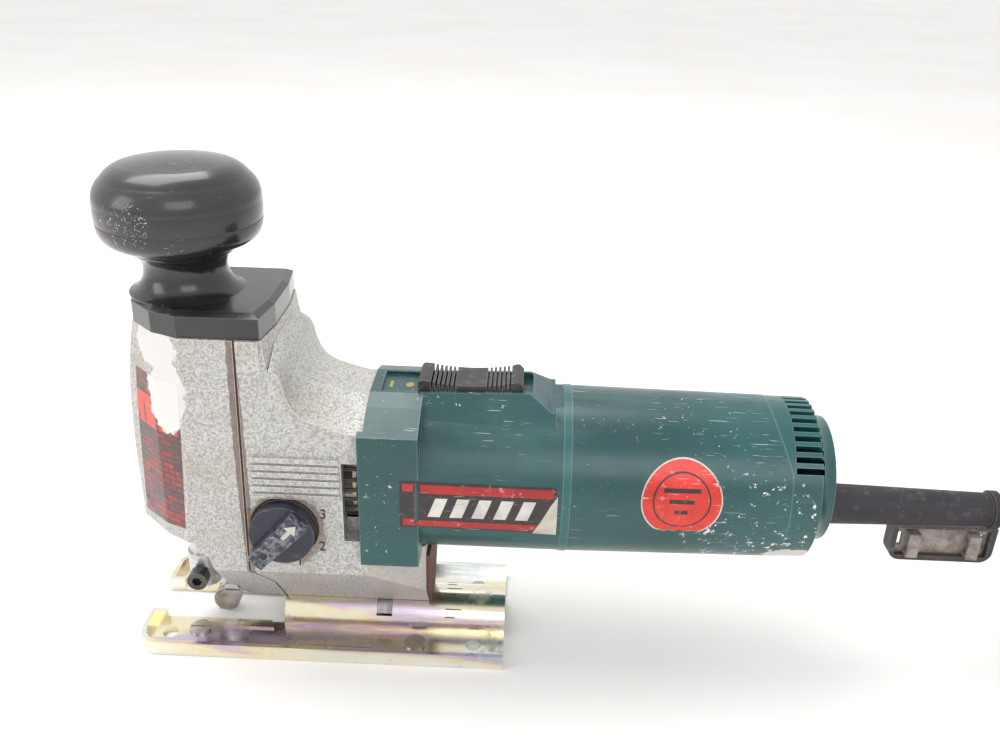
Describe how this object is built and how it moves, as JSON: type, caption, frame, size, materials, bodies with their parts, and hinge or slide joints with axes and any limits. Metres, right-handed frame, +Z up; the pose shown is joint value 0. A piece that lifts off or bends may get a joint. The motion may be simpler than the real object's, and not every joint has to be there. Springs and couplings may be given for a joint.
{
  "type": "jigsaw power tool",
  "caption": "Barrel-grip electric jigsaw with a domed knob, faceted gear housing, tilting forked base plate, reciprocating plunger, orbit selector, sliding switch and corded rubber sleeve.",
  "frame": {"origin": "where the blade line meets the underside of the base plate", "axes": "+X from the nose along the motor barrel to the cord, +Y to the tool's right-hand side seen from its nose, +Z up from the base plate to the knob"},
  "size_m": [0.5141, 0.1113, 0.1976],
  "materials": {
    "black_knob": "gloss black, scuffed",
    "silver_paint": "hammertone silver paint, grimy",
    "gasket": "matt dark red-brown",
    "green_plastic": "satin dark green, scratched",
    "black_plastic": "satin black",
    "zinc_sheet": "iridescent zinc plate",
    "steel": "machined steel",
    "dark_steel": "blackened screw steel",
    "bronze": "sintered bronze",
    "copper": "enamelled copper",
    "rubber_black": "worn rubber",
    "key_rubber": "grey-brown rubber",
    "knob_blue": "blue-black with a worn silvered bar",
    "aluminium": "bare cast aluminium",
    "insulation": "red-brown fibre",
    "carbon": "carbon",
    "pale_plastic": "natural nylon"
  },
  "bodies": {
    "housing": {"barrel_housing": "green_plastic", "base_clamp_saddle": "aluminium", "bearing_bracket": "black_plastic", "brush_holders": "bronze", "carbon_brushes": "carbon", "cord": "rubber_black", "cord_clamp": "black_plastic", "cord_coil": "rubber_black", "cord_sleeve": "rubber_black", "cord_tail": "rubber_black", "cover_screws": "dark_steel", "end_cap": "green_plastic", "fan_shroud": "black_plastic", "field_coils": "copper", "gear_housing": "silver_paint", "gear_spindle": "steel", "housing_gasket": "gasket", "insulating_plate": "insulation", "joint_ring": "green_plastic", "key_holder": "key_rubber", "knob_base": "black_knob", "knob_bolt": "dark_steel", "knob_cap": "black_knob", "lever_pivot_screw": "steel", "lower_bush": "bronze", "motor_bearings": "steel", "motor_housing": "green_plastic", "nose_cover": "silver_paint", "plug_body": "rubber_black", "plug_pins": "steel", "plunger_wiper": "rubber_black", "speed_module": "insulation", "stator_core": "dark_steel", "switch_module": "black_plastic", "tie_screws": "dark_steel", "upper_bush": "bronze"},
    "base": {"base_plate": "zinc_sheet", "base_screws": "steel", "base_rivets": "steel"},
    "plunger": {"plunger": "steel", "yoke": "steel", "blade_clamp": "steel"},
    "clamp_screw": {"clamp_screw": "dark_steel"},
    "armature": {"armature_shaft": "steel", "armature_core": "dark_steel", "armature_windings": "copper", "commutator": "copper", "fan": "pale_plastic", "pinion": "steel"},
    "crank": {"crank_gear": "steel", "crank_pin": "steel"},
    "selector": {"orbit_knob": "knob_blue", "orbit_shaft": "steel", "orbit_clip": "steel"},
    "lever": {"roller_lever": "steel", "roller_pin": "steel"},
    "roller": {"support_roller": "steel"},
    "switch": {"switch_slider": "black_plastic", "switch_bar": "pale_plastic"},
    "base_clamp_screw": {"base_clamp_screw": "dark_steel"}
  },
  "joints": [
    {"name": "base_tilt", "type": "hinge", "parent": "housing", "child": "base", "pos_m": [0.08, 0, 0.002], "axis": [1, 0, 0], "range_deg": [-45, 45]},
    {"name": "plunger_stroke", "type": "slide", "parent": "housing", "child": "plunger", "axis": [0, 0, 1], "range_m": [-0.0015, 0.0185]},
    {"name": "blade_clamp_screw_turn", "type": "hinge", "parent": "plunger", "child": "clamp_screw", "pos_m": [0, -0.0066, 0.0218], "axis": [0, 1, 0], "range_deg": [0, 540]},
    {"name": "armature_spin", "type": "hinge", "parent": "housing", "child": "armature", "pos_m": [0.1, 0, 0.0776], "axis": [1, 0, 0], "continuous": true},
    {"name": "crank_spin", "type": "hinge", "parent": "housing", "child": "crank", "pos_m": [0.0245, 0, 0.104], "axis": [1, 0, 0], "continuous": true},
    {"name": "selector_turn", "type": "hinge", "parent": "housing", "child": "selector", "pos_m": [0.0436, -0.03, 0.0623], "axis": [0, 1, 0], "range_deg": [0, 150]},
    {"name": "lever_swing", "type": "hinge", "parent": "housing", "child": "lever", "pos_m": [0.015, 0, 0.02], "axis": [0, 1, 0], "range_deg": [0, 3]},
    {"name": "roller_spin", "type": "hinge", "parent": "lever", "child": "roller", "pos_m": [0.0085, 0, 0.006], "axis": [0, 1, 0], "continuous": true},
    {"name": "switch_slide", "type": "slide", "parent": "housing", "child": "switch", "axis": [1, 0, 0], "range_m": [-0.006, 0]},
    {"name": "base_clamp_screw_turn", "type": "hinge", "parent": "housing", "child": "base_clamp_screw", "pos_m": [0.0782, 0, 0.0073], "axis": [0, 0, 1], "range_deg": [0, 720]}
  ],
  "couplings": [
    {"joint": "crank_spin", "follows": "armature_spin", "ratio": -0.17857}
  ]
}
